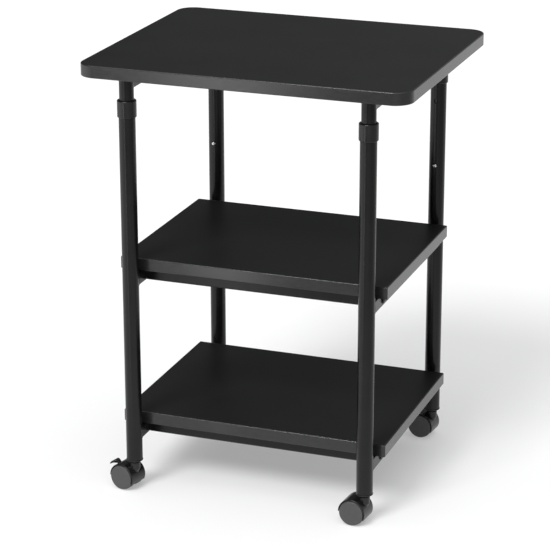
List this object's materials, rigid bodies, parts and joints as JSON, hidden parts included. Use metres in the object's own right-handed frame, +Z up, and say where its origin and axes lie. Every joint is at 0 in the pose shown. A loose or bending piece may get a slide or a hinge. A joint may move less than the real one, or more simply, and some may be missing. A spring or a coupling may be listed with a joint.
{
  "type": "mobile printer stand",
  "caption": "Rolling printer stand with a height-adjustable rounded top board, lower shelves on steel tube legs and twin-wheel swivel casters, some with a foot brake.",
  "frame": {"origin": "on the floor under the centre of the top board", "axes": "+Z up, +X to the stand's right, +Y to its rear"},
  "size_m": [0.51, 0.42, 0.678],
  "materials": {
    "board_laminate": "black melamine laminate, fine satin texture",
    "edge_band": "black edge banding, satin",
    "powder_coat": "black powder coat, semi-gloss",
    "zinc": "zinc plated",
    "moulded_plastic": "black moulded plastic, satin",
    "wheel_plastic": "dark grey moulded nylon"
  },
  "bodies": {
    "frame": {"mid_shelf_board": "board_laminate", "mid_shelf_edge_band": "edge_band", "mid_rail_left": "powder_coat", "mid_rail_right": "powder_coat", "mid_rail_front": "powder_coat", "mid_rail_rear": "powder_coat", "bottom_shelf_board": "board_laminate", "bottom_shelf_edge_band": "edge_band", "bottom_rail_left": "powder_coat", "bottom_rail_right": "powder_coat", "bottom_rail_front": "powder_coat", "bottom_rail_rear": "powder_coat", "leg_tube_front_left": "powder_coat", "collar_front_left": "moulded_plastic", "leg_socket_front_left": "moulded_plastic", "caster_stem_front_left": "zinc", "leg_tube_front_right": "powder_coat", "collar_front_right": "moulded_plastic", "leg_socket_front_right": "moulded_plastic", "caster_stem_front_right": "zinc", "leg_tube_rear_left": "powder_coat", "collar_rear_left": "moulded_plastic", "leg_socket_rear_left": "moulded_plastic", "caster_stem_rear_left": "zinc", "leg_tube_rear_right": "powder_coat", "collar_rear_right": "moulded_plastic", "leg_socket_rear_right": "moulded_plastic", "caster_stem_rear_right": "zinc"},
    "upper_frame": {"top_board": "board_laminate", "top_edge_band": "edge_band", "top_rail_left": "powder_coat", "top_rail_right": "powder_coat", "upper_tube_front_left": "powder_coat", "upper_tube_front_right": "powder_coat", "upper_tube_rear_left": "powder_coat", "upper_tube_rear_right": "powder_coat"},
    "snap_button_front_left": {"snap_clip_front_left": "zinc"},
    "caster_front_left": {"caster_hood_front_left": "moulded_plastic", "caster_axle_front_left": "zinc"},
    "wheel_front_left_near": {"caster_wheel_front_left_near": "wheel_plastic"},
    "wheel_front_left_far": {"caster_wheel_front_left_far": "wheel_plastic"},
    "brake_front_left": {"brake_lever_front_left": "moulded_plastic"},
    "snap_button_front_right": {"snap_clip_front_right": "zinc"},
    "caster_front_right": {"caster_hood_front_right": "moulded_plastic", "caster_axle_front_right": "zinc"},
    "wheel_front_right_near": {"caster_wheel_front_right_near": "wheel_plastic"},
    "wheel_front_right_far": {"caster_wheel_front_right_far": "wheel_plastic"},
    "snap_button_rear_left": {"snap_clip_rear_left": "zinc"},
    "caster_rear_left": {"caster_hood_rear_left": "moulded_plastic", "caster_axle_rear_left": "zinc"},
    "wheel_rear_left_near": {"caster_wheel_rear_left_near": "wheel_plastic"},
    "wheel_rear_left_far": {"caster_wheel_rear_left_far": "wheel_plastic"},
    "snap_button_rear_right": {"snap_clip_rear_right": "zinc"},
    "caster_rear_right": {"caster_hood_rear_right": "moulded_plastic", "caster_axle_rear_right": "zinc"},
    "wheel_rear_right_near": {"caster_wheel_rear_right_near": "wheel_plastic"},
    "wheel_rear_right_far": {"caster_wheel_rear_right_far": "wheel_plastic"},
    "brake_rear_right": {"brake_lever_rear_right": "moulded_plastic"}
  },
  "joints": [
    {"name": "height_slide", "type": "slide", "parent": "frame", "child": "upper_frame", "axis": [0, 0, 1], "range_m": [0, 0.104], "deforming": ["snap_clip_front_left", "snap_clip_front_right", "snap_clip_rear_left", "snap_clip_rear_right"]},
    {"name": "snap_press_front_left", "type": "slide", "parent": "upper_frame", "child": "snap_button_front_left", "axis": [0, -1, 0], "range_m": [0, 0.004], "stiffness_N_per_m": 800, "springref_m": -0.002},
    {"name": "swivel_front_left", "type": "hinge", "parent": "frame", "child": "caster_front_left", "pos_m": [-0.187, -0.1775, 0.045], "axis": [0, 0, 1], "continuous": true},
    {"name": "roll_front_left_near", "type": "hinge", "parent": "caster_front_left", "child": "wheel_front_left_near", "pos_m": [-0.20103, -0.17426, 0.02], "axis": [0.225, 0.9744, 0], "continuous": true},
    {"name": "roll_front_left_far", "type": "hinge", "parent": "caster_front_left", "child": "wheel_front_left_far", "pos_m": [-0.20103, -0.17426, 0.02], "axis": [0.225, 0.9744, 0], "continuous": true},
    {"name": "brake_press_front_left", "type": "hinge", "parent": "caster_front_left", "child": "brake_front_left", "pos_m": [-0.2098, -0.17224, 0.029], "axis": [-0.225, -0.9744, 0], "range_deg": [0, 18]},
    {"name": "snap_press_front_right", "type": "slide", "parent": "upper_frame", "child": "snap_button_front_right", "axis": [0, -1, 0], "range_m": [0, 0.004], "stiffness_N_per_m": 800, "springref_m": -0.002},
    {"name": "swivel_front_right", "type": "hinge", "parent": "frame", "child": "caster_front_right", "pos_m": [0.187, -0.1775, 0.045], "axis": [0, 0, 1], "continuous": true},
    {"name": "roll_front_right_near", "type": "hinge", "parent": "caster_front_right", "child": "wheel_front_right_near", "pos_m": [0.17266, -0.17625, 0.02], "axis": [0.0872, 0.9962, 0], "continuous": true},
    {"name": "roll_front_right_far", "type": "hinge", "parent": "caster_front_right", "child": "wheel_front_right_far", "pos_m": [0.17266, -0.17625, 0.02], "axis": [0.0872, 0.9962, 0], "continuous": true},
    {"name": "snap_press_rear_left", "type": "slide", "parent": "upper_frame", "child": "snap_button_rear_left", "axis": [0, 1, 0], "range_m": [0, 0.004], "stiffness_N_per_m": 800, "springref_m": -0.002},
    {"name": "swivel_rear_left", "type": "hinge", "parent": "frame", "child": "caster_rear_left", "pos_m": [-0.187, 0.1775, 0.045], "axis": [0, 0, 1], "continuous": true},
    {"name": "roll_rear_left_near", "type": "hinge", "parent": "caster_rear_left", "child": "wheel_rear_left_near", "pos_m": [-0.20134, 0.17875, 0.02], "axis": [0.0872, 0.9962, 0], "continuous": true},
    {"name": "roll_rear_left_far", "type": "hinge", "parent": "caster_rear_left", "child": "wheel_rear_left_far", "pos_m": [-0.20134, 0.17875, 0.02], "axis": [0.0872, 0.9962, 0], "continuous": true},
    {"name": "snap_press_rear_right", "type": "slide", "parent": "upper_frame", "child": "snap_button_rear_right", "axis": [0, 1, 0], "range_m": [0, 0.004], "stiffness_N_per_m": 800, "springref_m": -0.002},
    {"name": "swivel_rear_right", "type": "hinge", "parent": "frame", "child": "caster_rear_right", "pos_m": [0.187, 0.1775, 0.045], "axis": [0, 0, 1], "continuous": true},
    {"name": "roll_rear_right_near", "type": "hinge", "parent": "caster_rear_right", "child": "wheel_rear_right_near", "pos_m": [0.17266, 0.17875, 0.02], "axis": [0.0872, 0.9962, 0], "continuous": true},
    {"name": "roll_rear_right_far", "type": "hinge", "parent": "caster_rear_right", "child": "wheel_rear_right_far", "pos_m": [0.17266, 0.17875, 0.02], "axis": [0.0872, 0.9962, 0], "continuous": true},
    {"name": "brake_press_rear_right", "type": "hinge", "parent": "caster_rear_right", "child": "brake_rear_right", "pos_m": [0.16369, 0.17954, 0.029], "axis": [-0.0872, -0.9962, 0], "range_deg": [0, 18]}
  ]
}
